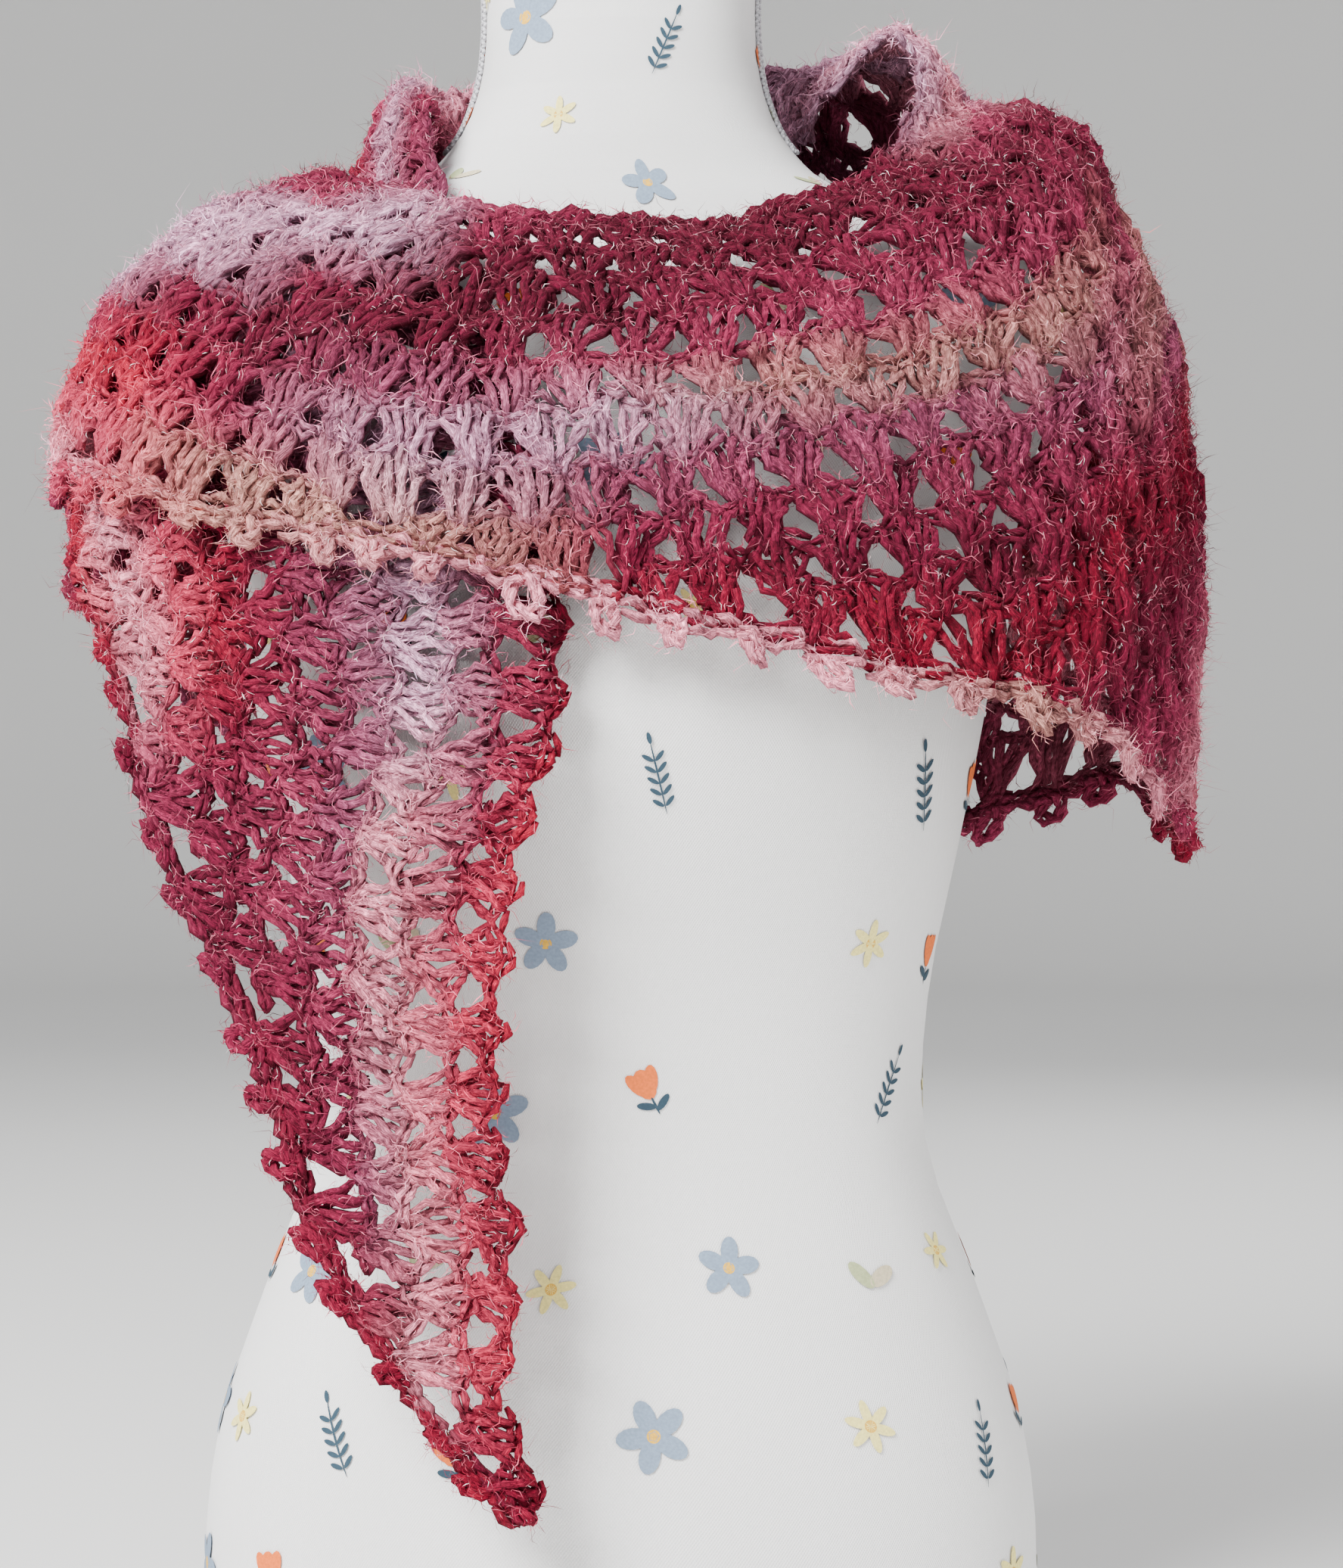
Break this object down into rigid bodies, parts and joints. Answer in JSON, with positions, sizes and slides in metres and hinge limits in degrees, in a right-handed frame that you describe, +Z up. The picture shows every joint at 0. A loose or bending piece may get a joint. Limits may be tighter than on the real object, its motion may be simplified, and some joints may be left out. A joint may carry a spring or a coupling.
{
  "type": "crochet shawl on dress form",
  "caption": "Openwork crochet shawl with picot hem, wound round the neck and shoulders of a limbless dress form that stands on a flat base.",
  "frame": {"origin": "centre of the dress form's flat base, on the surface it stands on", "axes": "+Z up, -Y towards the front of the wearer, +X towards the viewer's right as seen from the front"},
  "size_m": [0.4848, 0.3154, 0.742],
  "materials": {
    "shawl_yarn": "fuzzy mohair yarn, dyed in long runs from pale pink to burgundy, with pale shiny binder threads",
    "picot_yarn": "the same mohair yarn in pale pink, rose and burgundy",
    "form_cotton": "white plain-weave cotton with a sparse flower print",
    "form_braid": "silver-grey looped braid"
  },
  "bodies": {
    "root": {"tail_front": "shawl_yarn", "back_drape": "shawl_yarn", "front_band": "shawl_yarn", "tail_back": "shawl_yarn", "picots_tail_front": "picot_yarn", "picots_back_drape": "picot_yarn", "picots_front_band": "picot_yarn", "picots_tail_back": "picot_yarn", "dress_form": "form_cotton", "braid_left": "form_braid", "braid_right": "form_braid"}
  },
  "joints": []
}
